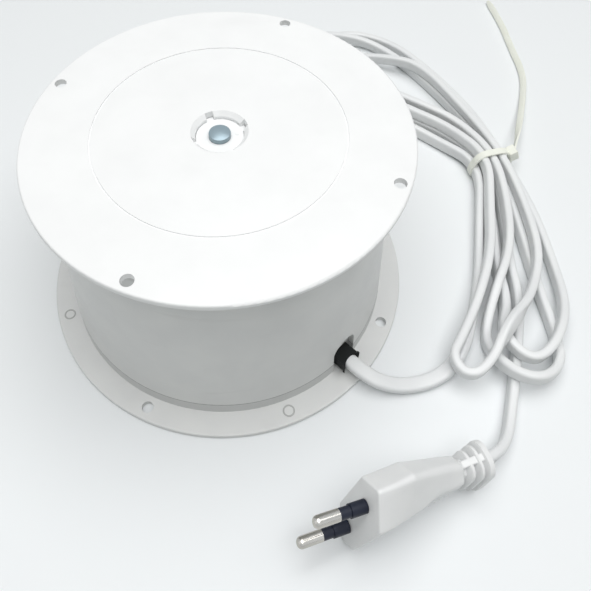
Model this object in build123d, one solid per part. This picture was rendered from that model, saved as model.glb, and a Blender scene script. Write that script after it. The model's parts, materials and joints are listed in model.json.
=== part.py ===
from build123d import *
from math import acos, atan2, ceil, cos, degrees, hypot, pi, radians, sin, sqrt, tan
import os

# Motor driven display turntable with its mains cord.
# Millimetres. The origin is on the turning axis, on the surface that the
# base stands on. +Z is up along the axis.

# Turning plate
PLATE_R = 70.0
PLATE_TOP = 89.0
PLATE_T = 2.4
PLATE_EDGE_ROUND = 0.8
BAND_R = 58.3
GROOVE_R = 45.4
GROOVE_W = 0.7
DISH = 0.4
POCKET_R = 8.8
POCKET_MOUTH_R = 10.4
POCKET_DEPTH = 3.2
NOTCH_W = 3.0
NOTCH_AZ = 20.0
NOTCHES = 4
PLATE_BOSS_R = 25.0
PLATE_RIB_T = 1.6
PLATE_RIB_H = 2.4
PLATE_RIBS = 12
PLATE_BOSS_H = 3.2
PLATE_HOLES = 4
PLATE_HOLE_R = 2.25
PLATE_HOLE_IN = 4.1
PLATE_HOLE_PCD = 2 * (PLATE_R - PLATE_HOLE_IN)
PLATE_HOLE_AZ = -117.4

# Drum and base
DRUM_FOOT_R = 67.0
DRUM_TAPER = 0.058
DRUM_WALL = 2.5
RIB_CLEAR = 1.2
SEAM_Z = 8.0
FLANGE_W = 9.0
FLANGE_R = DRUM_FOOT_R + FLANGE_W
FLANGE_T = 2.4
UPSTAND_T = 4.2
UPSTAND_IN_R = DRUM_FOOT_R - UPSTAND_T
FLANGE_HOLES = 4
FLANGE_HOLE_R = 2.25
FLANGE_HOLE_OUT = 4.15
FLANGE_HOLE_PCD = 2 * (DRUM_FOOT_R + FLANGE_HOLE_OUT)
FLANGE_HOLE_AZ = -119.8
MARK_R = 2.25
MARK_W = 0.4
MARK_H = 0.2
BASE_SCREWS = 4
BASE_SCREW_IN = 4.2
BASE_SCREW_RADIUS = UPSTAND_IN_R - BASE_SCREW_IN
BASE_SCREW_AZ = 85.0
BOSS_R = 3.6
BOSS_TOP = 36.0
BASE_PAD_R = 4.6

# Spindle, bushes and thrust bearing
SPINDLE_R = 4.0
SPINDLE_BOTTOM = 6.5
SPINDLE_RISE = 0.4
RUN_FIT = 0.05
FIT = 0.02
BUSH_WALL = 2.0
BUSH_R = SPINDLE_R + BUSH_WALL
BUSH_FLANGE_R = BUSH_R + 1.6
BUSH_BOSS_R = BUSH_R + 3.0
BUSH_FLANGE_T = 1.0
LOWER_BUSH_Z = 8.0
LOWER_BUSH_TOP = 20.0
UPPER_BUSH_LENGTH = 11.0
RACE_IN_R = 9.5
RACE_OUT_R = 17.5
RACE_T = 2.0
BALL_R = 2.0
BALL_RING_R = 13.5
BALLS = 14
BALL_CLEAR = 0.04
RACE_GAP = 2.4
CAGE_T = 1.4
CAGE_CLEAR = 0.12
RING_T = 0.9
RING_R = SPINDLE_R + 2.6
RING_SEAT = 0.6
RING_CLEAR = 0.4

# Drive hub
HUB_FLANGE_R = 24.5
HUB_FLANGE_T = 3.0
HUB_CLEAR = 0.15
WELL_CLEAR = 2.5
WELL_R = HUB_FLANGE_R + WELL_CLEAR
HUB_SCREWS = 3
HUB_SCREW_RADIUS = 21.0
PIN_R = 1.0
HUB_PIN_LENGTH = 22.0

# Gears
MODULE = 1.0
SPINDLE_TEETH = 54
PINION_TEETH = 18
PRESSURE = 20.0
BACKLASH = 0.16
CENTRE_SLACK = 0.05
GEAR_DROP = 11.0
GEAR_T = 8.0
GEAR_HUB_R = 10.0
GEAR_HUB_H = 8.0
PINION_HUB_R = 6.3
PINION_HUB_H = 5.5

# Geared synchronous motor
MOTOR_AZ = 130.0
MOTOR_R = 25.0
CAN_R = 24.4
CAN_H = 17.0
CASE_H = 9.0
FACE_DROP = 12.0
FACE_T = 1.2
EAR_SPACING = 60.0
EAR_R = 5.0
MOTOR_SHAFT_R = 3.5
SNOUT_R = 6.0
SNOUT_H = 2.2
POST_R = 4.0

# Screws
SCREW_R = 1.5
SCREW_HEAD_R = 2.8
SCREW_HEAD_T = 1.6

# Cord exit
EXIT_AZ = -50.0
EXIT_Z = 7.3
GATE_FACE = DRUM_FOOT_R - 3.4
GATE_BACK = GATE_FACE - 8.6
GATE_HALF = 5.8
GATE_CLEAR = 0.2
NOTCH_HALF = GATE_HALF + GATE_CLEAR
GATE_TOP = 20.0
CORD_W = 6.0
CORD_H = 3.7
SLEEVE_SIDE = 1.0
SLEEVE_OVER = 0.65
SLEEVE_W = CORD_W + 2 * SLEEVE_SIDE
SLEEVE_H = CORD_H + 2 * SLEEVE_OVER
SLEEVE_END = GATE_FACE + 7.2
SLEEVE_HOLLOW_R = 6.0
SLEEVE_HOLLOW_DEPTH = 1.9
SLEEVE_COLLAR = 2.0
CLAMP_U = 47.0
CLAMP_L = 7.0
CLAMP_SCREW_V = 7.5
BLOCK_U = 29.0
BLOCK_L = 11.0
BLOCK_W = 18.0
BLOCK_H = 13.0
LEAD_R = 0.9
LEAD_SPACING = 7.0

# Free cord, drawn as a round tube of the flat cord's section area
TUBE_R = 2.45
LAYER = 5.4
FLOOR_Z = 2.6
BAND_LIFT = 1.45
BUNDLE_HALF = 11.0
BUNDLE_TOP_HALF = 6.5
CORD_EXIT_U = SLEEVE_END - 1.1

# Plug
PLUG_W = 35.3
PLUG_H = 13.7
PLUG_FACE = (35.3, -111.3)
PLUG_SHOULDER = 8.0
PLUG_YAW = 14.0
PLUG_TILT = 13.5
PLUG_BODY = 36.0
RELIEF_END = 57.0
PLUG_PIN_R = 2.0
PLUG_PIN_CORE = 1.4
PLUG_PIN_LENGTH = 19.0
PLUG_PIN_ROOT = 18.6
PLUG_PIN_TIP = 17.5
PLUG_PIN_SLEEVE = 10.0
PLUG_PIN_DEPTH = 8.0

# Cable tie
TIE_W = 3.6
TIE_T = 1.1
TIE_GAP = 0.45
WAIST = (134.0, 43.0)
WAIST_TURN = 98.0
UP = 95.0
DOWN = -88.0


# Heights worked down from the plate's top
PLATE_UNDER = PLATE_TOP - PLATE_T
DRUM_TOP = PLATE_UNDER - PLATE_RIB_H - RIB_CLEAR
BOSS_UNDER = PLATE_UNDER - PLATE_BOSS_H
HUB_TOP = PLATE_TOP - POCKET_DEPTH
HUB_Z = BOSS_UNDER - HUB_FLANGE_T
HUB_PIN_Z = HUB_Z + HUB_FLANGE_T / 2
UPPER_RACE_Z = HUB_Z - RACE_T
WELL_FLOOR = UPPER_RACE_Z - RACE_GAP - RACE_T
CAGE_Z = WELL_FLOOR + RACE_T + RACE_GAP / 2
BUSH_BOSS_Z = WELL_FLOOR - UPPER_BUSH_LENGTH
RING_Z = BUSH_BOSS_Z - RING_CLEAR - RING_T
GEAR_Z = BUSH_BOSS_Z - GEAR_DROP
PIN_Z = GEAR_Z - GEAR_HUB_H / 2
FACE_Z = GEAR_Z - FACE_DROP
CASE_Z = FACE_Z - CASE_H
CAN_Z = CASE_Z - CAN_H


def drum_radius(z):
    """Outer radius of the tapered drum at a height."""
    return DRUM_FOOT_R - DRUM_TAPER * z


def polar(radius, azimuth, z=0.0):
    """Point at a radius and an azimuth in degrees."""
    return (radius * cos(radians(azimuth)), radius * sin(radians(azimuth)), z)


def rod(radius, bottom, top, centre=(0, 0)):
    """Upright cylinder between two heights."""
    return Pos(centre[0], centre[1], (bottom + top) / 2) * Cylinder(radius, top - bottom)


def tube(outer, inner, bottom, top, centre=(0, 0)):
    """Upright pipe between two heights."""
    return rod(outer, bottom, top, centre) - rod(inner, bottom - 1, top + 1, centre)


def turned(points, rounds=()):
    """Solid turned about the axis from (radius, height) points."""
    face = make_face(Plane.XZ * Polyline(*points, close=True))
    for radius, corner in rounds:
        spot = Vector(corner[0], 0, corner[1])
        face = fillet(face.vertices().sort_by_distance(spot)[0], radius)
    return revolve(face, Axis.Z)


def exit_frame(u, v=0.0, z=0.0):
    """Location on the cord's way out: u outward, v across, z up."""
    return Rot(Z=EXIT_AZ) * Pos(u, v, z)


def exit_point(u, v=0.0, z=0.0):
    """World point of an exit frame place."""
    return tuple(exit_frame(u, v, z).position)


def block(u0, u1, half_v, z0, z1, v=0.0):
    """Box in the exit frame."""
    centre = exit_frame((u0 + u1) / 2, v, (z0 + z1) / 2)
    return centre * Box(u1 - u0, 2 * half_v, z1 - z0)


def flat_bar(u0, u1, width, height, z):
    """Bar of racetrack section along the cord's way out."""
    section = Plane(origin=exit_point(u0, 0, z), x_dir=polar(1, EXIT_AZ + 90), z_dir=polar(1, EXIT_AZ))
    return extrude(section * SlotOverall(width, height), u1 - u0)


def pan_screw(radius, head_r, head_t, length, drive=0.9):
    """Screw on its point's axis: head from 0 up, shank down from 0."""
    head = fillet((Pos(0, 0, head_t / 2) * Cylinder(head_r, head_t)).edges().sort_by(Axis.Z)[-1:], head_t * 0.4)
    slot = Pos(0, 0, head_t) * (Box(head_r * 1.2, drive, head_t * 0.9) + Box(drive, head_r * 1.2, head_t * 0.9))
    return head + rod(radius, -length, 0) - slot


# Turning parts

def turntable_plate():
    """Moulded disc with a raised outer band, ribs and a keyed pocket."""
    inner = PLATE_TOP - DISH
    disc = turned(
        [(POCKET_R, BOSS_UNDER), (PLATE_BOSS_R, BOSS_UNDER), (PLATE_BOSS_R, PLATE_UNDER),
         (PLATE_R, PLATE_UNDER), (PLATE_R, PLATE_TOP), (BAND_R, PLATE_TOP),
         (GROOVE_R + GROOVE_W, inner), (GROOVE_R + GROOVE_W, inner - DISH),
         (GROOVE_R, inner - DISH), (GROOVE_R, inner), (POCKET_MOUTH_R, inner),
         (POCKET_R, inner - (POCKET_MOUTH_R - POCKET_R))],
        [(PLATE_EDGE_ROUND, (PLATE_R, PLATE_TOP)), (PLATE_EDGE_ROUND / 2, (PLATE_R, PLATE_UNDER))])
    rib_out = DRUM_FOOT_R - 5
    ribs = tube(rib_out, rib_out - PLATE_RIB_T, PLATE_UNDER - PLATE_RIB_H, PLATE_UNDER)
    rib_length = rib_out - PLATE_BOSS_R
    for k in range(PLATE_RIBS):
        rib = Pos((rib_out + PLATE_BOSS_R - 1) / 2, 0, PLATE_UNDER - PLATE_RIB_H / 2)
        ribs += Rot(Z=k * 360 / PLATE_RIBS) * rib * Box(rib_length, PLATE_RIB_T, PLATE_RIB_H)
    plate = disc + ribs
    for k in range(NOTCHES):
        notch = Pos(POCKET_R, 0, PLATE_TOP - 2) * Box(2 * (POCKET_MOUTH_R - POCKET_R), NOTCH_W, 20)
        plate -= Rot(Z=k * 360 / NOTCHES + NOTCH_AZ) * notch
    for k in range(PLATE_HOLES):
        spot = polar(PLATE_HOLE_PCD / 2, PLATE_HOLE_AZ + k * 360 / PLATE_HOLES)
        plate -= rod(PLATE_HOLE_R, PLATE_UNDER - 1, PLATE_TOP + 1, spot)
    for k in range(HUB_SCREWS):
        spot = polar(HUB_SCREW_RADIUS, k * 360 / HUB_SCREWS)
        plate -= rod(SCREW_R + FIT, BOSS_UNDER - 1, BOSS_UNDER + 3.5, spot)
    return plate


def drive_hub():
    """Flanged hub keyed into the plate's pocket by four lugs."""
    hub = turned(
        [(SPINDLE_R + FIT, HUB_Z), (HUB_FLANGE_R, HUB_Z), (HUB_FLANGE_R, BOSS_UNDER),
         (POCKET_R - HUB_CLEAR, BOSS_UNDER), (POCKET_R - HUB_CLEAR, HUB_TOP),
         (SPINDLE_R + FIT, HUB_TOP)])
    for k in range(NOTCHES):
        lug = Pos(POCKET_R - HUB_CLEAR, 0, (HUB_TOP + BOSS_UNDER) / 2 + 0.1)
        lug *= Box(2 * (POCKET_MOUTH_R - POCKET_R) - 2 * HUB_CLEAR, NOTCH_W - 2 * HUB_CLEAR,
                   HUB_TOP - BOSS_UNDER - 0.2)
        hub += Rot(Z=k * 360 / NOTCHES + NOTCH_AZ) * lug
    pip = Pos(*polar(6.3, 5, HUB_TOP)) * Cylinder(0.7, 0.5)
    hub += pip
    for k in range(HUB_SCREWS):
        hub -= rod(SCREW_R + 0.2, HUB_Z - 1, BOSS_UNDER + 1, polar(HUB_SCREW_RADIUS, k * 360 / HUB_SCREWS))
    return hub - Pos(0, 0, HUB_PIN_Z) * Rot(X=90) * Cylinder(PIN_R + FIT, 2 * HUB_FLANGE_R + 2)


def hub_screws():
    """Three screws that hold the plate down on its hub."""
    length = HUB_FLANGE_T + 3.2
    screw = Rot(X=180) * pan_screw(SCREW_R, SCREW_HEAD_R, SCREW_HEAD_T, length)
    return [Pos(*polar(HUB_SCREW_RADIUS, k * 360 / HUB_SCREWS, HUB_Z)) * screw for k in range(HUB_SCREWS)]


def cross_pin(z, length, azimuth):
    """Pin across the spindle."""
    return Rot(Z=azimuth) * Pos(0, 0, z) * Rot(X=90) * Cylinder(PIN_R, length)


def spindle():
    """Steel spindle with chamfered ends, ring groove and pin holes."""
    shaft = rod(SPINDLE_R, SPINDLE_BOTTOM, HUB_TOP + SPINDLE_RISE)
    shaft = chamfer(shaft.edges().group_by(Axis.Z)[-1], 0.9, 0.45)
    shaft = chamfer(shaft.edges().group_by(Axis.Z)[0], 0.6)
    shaft -= tube(SPINDLE_R + 1, SPINDLE_R - RING_SEAT, RING_Z - FIT, RING_Z + RING_T + FIT)
    for z, azimuth in ((HUB_PIN_Z, 0), (PIN_Z, 90)):
        shaft -= Rot(Z=azimuth) * Pos(0, 0, z) * Rot(X=90) * Cylinder(PIN_R + FIT, 4 * SPINDLE_R)
    return shaft


def retaining_ring():
    """Snap ring under the upper bush."""
    ring = tube(RING_R, SPINDLE_R - RING_SEAT + FIT, RING_Z, RING_Z + RING_T)
    return ring - Pos(RING_R, 0, RING_Z) * Box(2 * RING_R, 5.0, 4)


def race(bottom, groove_side):
    """Thrust washer with a ball groove on one face."""
    washer = tube(RACE_OUT_R, RACE_IN_R, bottom, bottom + RACE_T)
    washer = chamfer(washer.edges().filter_by(GeomType.CIRCLE), 0.25)
    return washer - Pos(0, 0, groove_side) * Torus(BALL_RING_R, BALL_R + BALL_CLEAR)


def ball_cage():
    """Ring that keeps the balls apart."""
    ring = tube(RACE_OUT_R - 0.6, RACE_IN_R + 0.6, CAGE_Z - CAGE_T / 2, CAGE_Z + CAGE_T / 2)
    for k in range(BALLS):
        ring -= rod(BALL_R + CAGE_CLEAR, CAGE_Z - 3, CAGE_Z + 3, polar(BALL_RING_R, k * 360 / BALLS))
    return ring


def bearing_balls():
    """Balls of the thrust bearing."""
    return [Pos(*polar(BALL_RING_R, k * 360 / BALLS, CAGE_Z)) * Sphere(BALL_R) for k in range(BALLS)]


# Gears

def involute(angle):
    """Involute function of a pressure angle in radians."""
    return tan(angle) - angle


def gear_outline(teeth):
    """Closed outline of a spur gear, with a tooth on +X."""
    pitch_r = MODULE * teeth / 2
    base_r = pitch_r * cos(radians(PRESSURE))
    tip_r = pitch_r + 0.97 * MODULE
    root_r = pitch_r - 1.25 * MODULE
    flank_steps = 4
    start_r = max(base_r, root_r)

    def half_angle(radius):
        lean = involute(acos(min(1.0, base_r / max(radius, base_r))))
        return pi / (2 * teeth) + involute(radians(PRESSURE)) - lean - BACKLASH / (2 * pitch_r)

    radii = [start_r + (tip_r - start_r) * k / flank_steps for k in range(flank_steps + 1)]
    half = [(root_r, min(half_angle(start_r) + 0.1 / pitch_r, pi / teeth * 0.95))]
    half += [(radius, half_angle(radius)) for radius in radii]
    outline = []
    for k in range(teeth):
        mid = 2 * pi * k / teeth
        outline += [(r * cos(mid - a), r * sin(mid - a)) for r, a in half]
        outline += [(r * cos(mid + a), r * sin(mid + a)) for r, a in reversed(half)]
    return Polyline(*outline, close=True)


def spur_gear(teeth, bore_r, hub_r, hub_h, tooth_azimuth):
    """Spur gear at the gears' height with its hub below."""
    wheel = Pos(0, 0, GEAR_Z) * Rot(Z=tooth_azimuth) * extrude(make_face(gear_outline(teeth)), GEAR_T)
    wheel += rod(hub_r, GEAR_Z - hub_h, GEAR_Z + 0.1)
    return wheel - rod(bore_r, GEAR_Z - hub_h - 1, GEAR_Z + GEAR_T + 1)


def spindle_gear():
    """Large gear on the spindle, webbed and pierced."""
    gear = spur_gear(SPINDLE_TEETH, SPINDLE_R + FIT, GEAR_HUB_R, GEAR_HUB_H, MOTOR_AZ)
    rim_r = MODULE * SPINDLE_TEETH / 2 - 4.5
    for low, high in ((GEAR_Z + GEAR_T - 2.5, GEAR_Z + GEAR_T + 1), (GEAR_Z - 1, GEAR_Z + 2.5)):
        gear -= tube(rim_r, GEAR_HUB_R, low, high)
    for k in range(6):
        gear -= rod(3.6, GEAR_Z - 1, GEAR_Z + GEAR_T + 1, polar((rim_r + GEAR_HUB_R) / 2, 60 * k))
    return gear - Rot(Z=90) * Pos(0, 0, PIN_Z) * Rot(X=90) * Cylinder(PIN_R + FIT, 3 * GEAR_HUB_R)


MOTOR_REACH = MODULE * (SPINDLE_TEETH + PINION_TEETH) / 2 + CENTRE_SLACK
MOTOR = polar(MOTOR_REACH, MOTOR_AZ)
AT_MOTOR = Pos(MOTOR[0], MOTOR[1], 0)
SET_SCREW_Z = GEAR_Z - PINION_HUB_H / 2


def pinion():
    """Small gear on the motor's shaft."""
    gear = spur_gear(PINION_TEETH, MOTOR_SHAFT_R + FIT, PINION_HUB_R, PINION_HUB_H,
                     MOTOR_AZ + 180 + 180 / PINION_TEETH)
    hole = Rot(Z=MOTOR_AZ) * Pos(PINION_HUB_R, 0, SET_SCREW_Z) * Rot(Y=90)
    return AT_MOTOR * (gear - hole * Cylinder(SCREW_R + FIT, 2 * PINION_HUB_R - 2))


def pinion_screw():
    """Set screw that fixes the pinion to the shaft."""
    length = PINION_HUB_R - MOTOR_SHAFT_R - 0.1
    place = Rot(Z=MOTOR_AZ) * Pos(MOTOR_SHAFT_R + 0.05 + length / 2, 0, SET_SCREW_Z) * Rot(Y=90)
    return AT_MOTOR * place * Cylinder(SCREW_R, length)


def motor_shaft():
    """Output shaft of the geared motor."""
    shaft = rod(MOTOR_SHAFT_R, FACE_Z - 4, GEAR_Z + GEAR_T + 1)
    return AT_MOTOR * chamfer(shaft.edges().group_by(Axis.Z)[-1], 0.5)


# Motor

def motor_can():
    """Drawn steel can of the motor."""
    can = rod(CAN_R, CAN_Z, CASE_Z)
    can = fillet(can.edges().group_by(Axis.Z)[0], 2.5)
    can += tube(CAN_R + 0.5, CAN_R - 1, CASE_Z - 1.2, CASE_Z)
    return AT_MOTOR * can


def motor_gearcase():
    """Closed case of the motor's reduction gears."""
    case = rod(MOTOR_R, CASE_Z, FACE_Z) - rod(MOTOR_SHAFT_R + 0.3, FACE_Z - 4.5, FACE_Z + 1)
    return AT_MOTOR * case


def ear_spots():
    """Places of the two motor ears beside the motor's axis."""
    return [(0, side * EAR_SPACING / 2) for side in (-1, 1)]


def motor_face_plate():
    """Face plate with two ears and the shaft's snout."""
    plate = rod(MOTOR_R, FACE_Z, FACE_Z + FACE_T)
    for x, y in ear_spots():
        plate += rod(EAR_R, FACE_Z, FACE_Z + FACE_T, (x, y))
        plate += Pos(0, y / 2, FACE_Z + FACE_T / 2) * Box(2 * EAR_R, EAR_SPACING / 2, FACE_T)
    plate += rod(SNOUT_R, FACE_Z, FACE_Z + FACE_T + SNOUT_H)
    plate -= rod(MOTOR_SHAFT_R + RUN_FIT, FACE_Z - 1, FACE_Z + 10)
    for spot in ear_spots():
        plate -= rod(SCREW_R + 0.3, FACE_Z - 1, FACE_Z + 5, spot)
    return AT_MOTOR * Rot(Z=MOTOR_AZ) * plate


def motor_screws():
    """Two screws through the motor's ears."""
    screw = pan_screw(SCREW_R, SCREW_HEAD_R, SCREW_HEAD_T, 10)
    at_face = AT_MOTOR * Rot(Z=MOTOR_AZ)
    return [at_face * Pos(x, y, FACE_Z + FACE_T) * screw for x, y in ear_spots()]


# Drum, base and bushes

def base_screw_spots():
    """Places of the screws that close the base."""
    return [polar(BASE_SCREW_RADIUS, BASE_SCREW_AZ + k * 360 / BASE_SCREWS) for k in range(BASE_SCREWS)]


def drum_housing():
    """Tapered drum with a deck, bearing well and screw bosses."""
    inner = DRUM_WALL
    deck = DRUM_TOP - DRUM_WALL
    under = WELL_FLOOR - DRUM_WALL
    drum = turned(
        [(drum_radius(SEAM_Z), SEAM_Z), (drum_radius(DRUM_TOP), DRUM_TOP), (WELL_R, DRUM_TOP),
         (WELL_R, WELL_FLOOR), (BUSH_R + FIT, WELL_FLOOR), (BUSH_R + FIT, BUSH_BOSS_Z),
         (BUSH_BOSS_R, BUSH_BOSS_Z), (BUSH_BOSS_R, under), (WELL_R + DRUM_WALL, under),
         (WELL_R + DRUM_WALL, deck), (drum_radius(deck) - inner, deck),
         (drum_radius(SEAM_Z) - inner, SEAM_Z)],
        [(1.6, (drum_radius(DRUM_TOP), DRUM_TOP))])
    for x, y, _ in base_screw_spots():
        azimuth = degrees(atan2(y, x))
        web_end = drum_radius(BOSS_TOP) - 1.0
        web = Pos((BASE_SCREW_RADIUS + web_end) / 2, 0, (SEAM_Z + BOSS_TOP) / 2 + 0.1)
        drum += Rot(Z=azimuth) * web * Box(web_end - BASE_SCREW_RADIUS, 2.0, BOSS_TOP - SEAM_Z - 0.2)
        drum += rod(BOSS_R, FLANGE_T + 2, BOSS_TOP, (x, y))
        drum -= rod(SCREW_R + FIT, 0, 20, (x, y))
    notch = block(GATE_FACE - 8, FLANGE_R, NOTCH_HALF, SEAM_Z - 1, GATE_TOP - NOTCH_HALF)
    top = exit_frame((GATE_FACE - 8 + FLANGE_R) / 2, 0, GATE_TOP - NOTCH_HALF)
    notch += top * Rot(Y=90) * Cylinder(NOTCH_HALF, FLANGE_R - GATE_FACE + 8)
    return drum - notch


def cord_gate():
    """Moulded block that closes the drum's notch around the sleeve."""
    spring = GATE_TOP - NOTCH_HALF
    gate = block(GATE_BACK, GATE_FACE, GATE_HALF, FLANGE_T - 0.1, spring)
    top = exit_frame((GATE_BACK + GATE_FACE) / 2, 0, spring)
    return gate + top * Rot(Y=90) * Cylinder(GATE_HALF, GATE_FACE - GATE_BACK)


def base_plate():
    """Flanged base with motor posts, bush boss and cord gate."""
    base = turned(
        [(0, 0), (FLANGE_R, 0), (FLANGE_R, FLANGE_T), (drum_radius(FLANGE_T), FLANGE_T),
         (drum_radius(SEAM_Z), SEAM_Z), (UPSTAND_IN_R, SEAM_Z), (UPSTAND_IN_R, FLANGE_T), (0, FLANGE_T)],
        [(0.6, (FLANGE_R, FLANGE_T)), (0.5, (FLANGE_R, 0))])
    base -= block(UPSTAND_IN_R - 2, FLANGE_R - 2, NOTCH_HALF, FLANGE_T, SEAM_Z + 1)
    base += rod(BUSH_BOSS_R, FLANGE_T - 0.1, LOWER_BUSH_TOP)
    base -= rod(BUSH_R + FIT, LOWER_BUSH_Z, LOWER_BUSH_TOP + 1)
    base -= rod(SPINDLE_R + 0.6, SPINDLE_BOTTOM - 1, LOWER_BUSH_Z + 1)
    for x, y in ear_spots():
        post = rod(POST_R, FLANGE_T - 0.1, FACE_Z, (x, y)) - rod(SCREW_R + FIT, FACE_Z - 12, FACE_Z + 1, (x, y))
        base += AT_MOTOR * Rot(Z=MOTOR_AZ) * post
    for x, y, _ in base_screw_spots():
        base += rod(BASE_PAD_R, FLANGE_T - 0.1, FLANGE_T + 2, (x, y))
        base -= rod(SCREW_R + 0.3, -1, FLANGE_T + 3, (x, y))
        base -= rod(SCREW_HEAD_R + 0.4, -1, SCREW_HEAD_T + 0.3, (x, y))
    base += cord_gate()
    base -= block(GATE_BACK - 1, GATE_FACE + 1, SLEEVE_W / 2 + 0.1,
                  EXIT_Z - SLEEVE_H / 2 - 0.1, EXIT_Z + SLEEVE_H / 2 + 0.1)
    base += block(CLAMP_U - CLAMP_L / 2, CLAMP_U + CLAMP_L / 2, CLAMP_SCREW_V + 3,
                  FLANGE_T - 0.1, EXIT_Z - CORD_H / 2)
    for side in (-1, 1):
        spot = exit_point(CLAMP_U, side * CLAMP_SCREW_V)
        base -= rod(SCREW_R + FIT, 1.2, EXIT_Z, spot)
    for k in range(FLANGE_HOLES):
        azimuth = FLANGE_HOLE_AZ + k * 360 / FLANGE_HOLES
        base -= rod(FLANGE_HOLE_R, -1, FLANGE_T + 1, polar(FLANGE_HOLE_PCD / 2, azimuth))
        spot = polar(FLANGE_HOLE_PCD / 2, azimuth + 45)
        base += tube(MARK_R, MARK_R - MARK_W, FLANGE_T - 0.1, FLANGE_T + MARK_H, spot)
    return base


def base_screws():
    """Four screws that hold the base to the drum."""
    screw = Rot(X=180) * pan_screw(SCREW_R, SCREW_HEAD_R, SCREW_HEAD_T, 14)
    return [Pos(x, y, SCREW_HEAD_T + 0.3) * screw for x, y, _ in base_screw_spots()]


def upper_bush():
    """Flanged bronze bush in the drum's boss."""
    bush = tube(BUSH_R, SPINDLE_R + RUN_FIT, BUSH_BOSS_Z, WELL_FLOOR + 0.5)
    return bush + tube(BUSH_FLANGE_R, SPINDLE_R + RUN_FIT, WELL_FLOOR, WELL_FLOOR + BUSH_FLANGE_T)


def lower_bush():
    """Plain bronze bush in the base's boss."""
    return tube(BUSH_R, SPINDLE_R + RUN_FIT, LOWER_BUSH_Z, LOWER_BUSH_TOP)


# Cord exit and wiring

def cord_sleeve():
    """Black sleeve around the cord, collared inside the gate."""
    low = EXIT_Z - SLEEVE_H / 2
    sleeve = block(GATE_BACK - SLEEVE_COLLAR, SLEEVE_END - 0.9, SLEEVE_W / 2, low, low + SLEEVE_H)
    sleeve += block(SLEEVE_END - 1.0, SLEEVE_END, SLEEVE_W / 2 + 0.35, low - 0.2, low + SLEEVE_H + 0.2)
    sleeve += block(GATE_BACK - SLEEVE_COLLAR - 0.2, GATE_BACK - 0.2, SLEEVE_W / 2 + 2, low - 1.6, low + SLEEVE_H + 2)
    hollow = exit_frame(SLEEVE_END - SLEEVE_HOLLOW_DEPTH + SLEEVE_HOLLOW_R, 0, EXIT_Z)
    sleeve -= hollow * Cylinder(SLEEVE_HOLLOW_R, 3 * SLEEVE_H)
    return sleeve - flat_bar(GATE_BACK - 6, SLEEVE_END + 2, CORD_W + 0.1, CORD_H + 0.1, EXIT_Z)


def cord_inner():
    """Flat cord from the sleeve through the clamp to the terminals."""
    return flat_bar(BLOCK_U + BLOCK_L / 2, CORD_EXIT_U, CORD_W, CORD_H, EXIT_Z)


def cord_clamp():
    """Saddle that grips the cord."""
    low = EXIT_Z - CORD_H / 2 + 0.2
    bar = block(CLAMP_U - CLAMP_L / 2, CLAMP_U + CLAMP_L / 2, CLAMP_SCREW_V + 3, low, low + CORD_H + 2)
    bar = fillet(bar.edges().filter_by(Axis.Z), 1.5)
    bar -= flat_bar(CLAMP_U - CLAMP_L, CLAMP_U + CLAMP_L, CORD_W + 0.1, CORD_H + 0.1, EXIT_Z)
    bar -= block(CLAMP_U - CLAMP_L, CLAMP_U + CLAMP_L, CORD_W / 2 - 0.2, low - 1, EXIT_Z)
    for side in (-1, 1):
        bar -= rod(SCREW_R + 0.2, 0, 30, exit_point(CLAMP_U, side * CLAMP_SCREW_V))
    return bar


def clamp_screws():
    """Two screws of the cord clamp."""
    top = EXIT_Z - CORD_H / 2 + 0.2 + CORD_H + 2
    screw = pan_screw(SCREW_R, SCREW_HEAD_R, SCREW_HEAD_T, top - 1.6)
    return [Pos(*exit_point(CLAMP_U, side * CLAMP_SCREW_V, top)) * screw for side in (-1, 1)]


def lead_offsets():
    """Sideways places of the two motor leads."""
    return [side * LEAD_SPACING / 2 for side in (-1, 1)]


def terminal_block():
    """Two-way terminal block standing on the base."""
    body = block(BLOCK_U - BLOCK_L / 2, BLOCK_U + BLOCK_L / 2, BLOCK_W / 2, FLANGE_T, FLANGE_T + BLOCK_H)
    body -= block(BLOCK_U - BLOCK_L, BLOCK_U + BLOCK_L, 1.0, FLANGE_T + BLOCK_H - 5, FLANGE_T + BLOCK_H + 1)
    for v in lead_offsets():
        body -= rod(2.0, FLANGE_T + BLOCK_H - 6, FLANGE_T + BLOCK_H + 1, exit_point(BLOCK_U, v))
    return body


def terminal_screws():
    """Wire screws of the terminal block."""
    top = FLANGE_T + BLOCK_H
    slot = Pos(0, 0, top - 1) * Box(4, 0.7, 1)
    screws = [rod(1.9, top - 5.9, top - 1, (0, 0)) - slot for _ in lead_offsets()]
    return [Pos(*exit_point(BLOCK_U, v)) * s for v, s in zip(lead_offsets(), screws)]


def rounded_path(points):
    """Straight runs joined by arcs as large as their runs allow, with the radii."""
    spots = [Vector(*p) for p in points]
    radii = []
    for a, b, c in zip(spots, spots[1:], spots[2:]):
        turn = radians((b - a).get_angle(c - b))
        radii.append(0.45 * min((b - a).length, (c - b).length) / tan(turn / 2))
    return FilletPolyline(*points, radius=radii), radii


def round_tube(path, radius):
    """Round tube along a path."""
    section = Plane(origin=path @ 0, z_dir=path % 0) * Circle(radius)
    return sweep(section, path=path)


def motor_leads():
    """Two leads from the terminal block round the bush boss to the motor can."""
    leads = []
    for k, v in enumerate(lead_offsets()):
        angle = 62 + 9 * (1 - k)
        reach = [CAN_R + 0.1, CAN_R + 9]
        ends = [(-MOTOR_REACH + r * cos(radians(angle)), r * sin(radians(angle))) for r in reach]
        out = 3.2 * (1 - k)
        route = [exit_point(BLOCK_U - BLOCK_L / 2, v, 7), exit_point(BLOCK_U - 14, v, 7),
                 exit_point(8 + out, 21 + out, 9), exit_point(-8, 30 + out, 15),
                 exit_point(*ends[1], 20), exit_point(*ends[0], 21)]
        path, _ = rounded_path(route)
        leads.append(round_tube(path, LEAD_R))
    return leads


# Free cord: lead, hank and the stretch to the plug

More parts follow.
